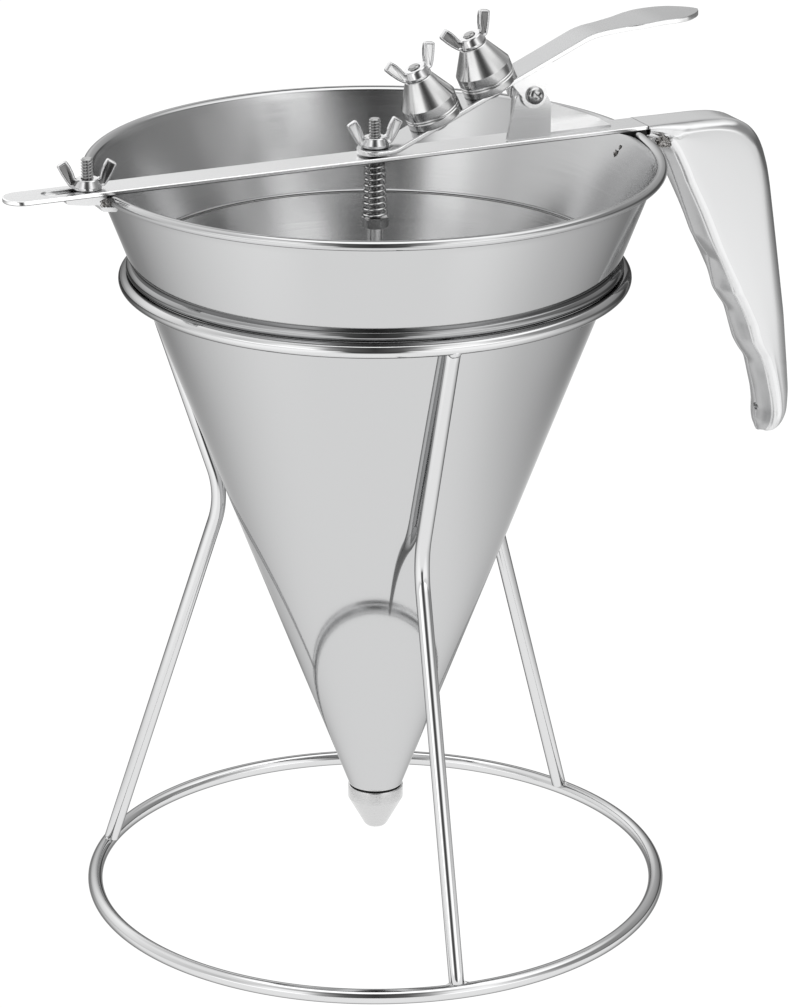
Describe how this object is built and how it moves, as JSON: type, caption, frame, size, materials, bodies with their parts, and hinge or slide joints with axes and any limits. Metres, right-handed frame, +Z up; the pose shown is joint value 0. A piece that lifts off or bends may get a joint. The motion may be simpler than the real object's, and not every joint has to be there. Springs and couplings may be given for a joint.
{
  "type": "pancake batter dispenser",
  "caption": "Steel batter funnel with a spring valve, thumb lever, hollow grip and spare nozzles, standing in a wire stand.",
  "frame": {"origin": "centre of the stand's base ring, on the surface it stands on", "axes": "+Z up along the funnel's axis, +X along the carrying bar towards the grip, +Y to the left of someone facing +X"},
  "size_m": [0.2815, 0.1982, 0.3026],
  "materials": {
    "stand_wire": "bright polished wire",
    "funnel_steel": "mirror outside, brushed round inside",
    "turned_steel": "turned, satin",
    "bar_steel": "polished sheet",
    "screw_steel": "bright machine screw",
    "spring_steel": "bright spring wire",
    "wing_nut_steel": "cast, tumbled bright",
    "seal_rubber": "matt black"
  },
  "bodies": {
    "stand": {"stand_base_ring": "stand_wire", "stand_top_ring": "stand_wire", "stand_leg_front": "stand_wire", "stand_leg_rear": "stand_wire", "stand_leg_left": "stand_wire"},
    "funnel": {"funnel_cone": "funnel_steel", "funnel_band": "funnel_steel", "spout_collar": "turned_steel", "nozzle_gasket": "seal_rubber", "handle_bar": "bar_steel", "handle_grip": "bar_steel", "rim_clamp_hook": "bar_steel", "clamp_stud": "screw_steel", "rim_keeper": "bar_steel", "hinge_bracket": "bar_steel", "hinge_screw": "screw_steel", "hinge_nut": "screw_steel", "return_spring": "spring_steel"},
    "lever": {"lever_arm": "bar_steel", "lever_ears": "bar_steel", "storage_screws": "screw_steel", "spare_nozzle_1": "turned_steel", "spare_nozzle_2": "turned_steel"},
    "plunger": {"plunger_rod": "turned_steel", "spring_nut": "screw_steel", "valve_tip": "turned_steel"},
    "nozzle_cap": {"nozzle": "turned_steel"},
    "clamp_nut": {"clamp_wing_nut": "wing_nut_steel"},
    "rod_nut": {"rod_wing_nut": "wing_nut_steel"},
    "spare_nut_1": {"spare_wing_nut_1": "wing_nut_steel"},
    "spare_nut_2": {"spare_wing_nut_2": "wing_nut_steel"}
  },
  "joints": [
    {"name": "funnel_lift", "type": "slide", "parent": "stand", "child": "funnel", "axis": [0, 0, 1], "range_m": [0, 0.21]},
    {"name": "lever_pivot", "type": "hinge", "parent": "funnel", "child": "lever", "pos_m": [0.0546, 0, 0.2734], "axis": [0, 1, 0], "range_deg": [0, 8], "stiffness_Nm_per_rad": 2, "springref_deg": -5.73},
    {"name": "plunger_slide", "type": "slide", "parent": "funnel", "child": "plunger", "axis": [0, 0, 1], "range_m": [0, 0.0084], "deforming": ["return_spring"]},
    {"name": "nozzle_spin", "type": "hinge", "parent": "funnel", "child": "nozzle_cap", "pos_m": [0, 0, 0.03], "axis": [0, 0, 1], "continuous": true},
    {"name": "clamp_nut_spin", "type": "hinge", "parent": "funnel", "child": "clamp_nut", "pos_m": [-0.0995, 0, 0.26], "axis": [0, 0, 1], "continuous": true},
    {"name": "rod_nut_spin", "type": "hinge", "parent": "plunger", "child": "rod_nut", "pos_m": [0, 0, 0.262], "axis": [0, 0, 1], "continuous": true},
    {"name": "spare_nut_spin_1", "type": "hinge", "parent": "lever", "child": "spare_nut_1", "pos_m": [0.0216, 0, 0.2681], "axis": [-0.4035, 0, 0.915], "continuous": true},
    {"name": "spare_nut_spin_2", "type": "hinge", "parent": "lever", "child": "spare_nut_2", "pos_m": [0.0413, 0, 0.27679], "axis": [-0.4035, 0, 0.915], "continuous": true}
  ],
  "couplings": [
    {"joint": "plunger_slide", "follows": "lever_pivot", "m_per_rad": 0.0595}
  ]
}
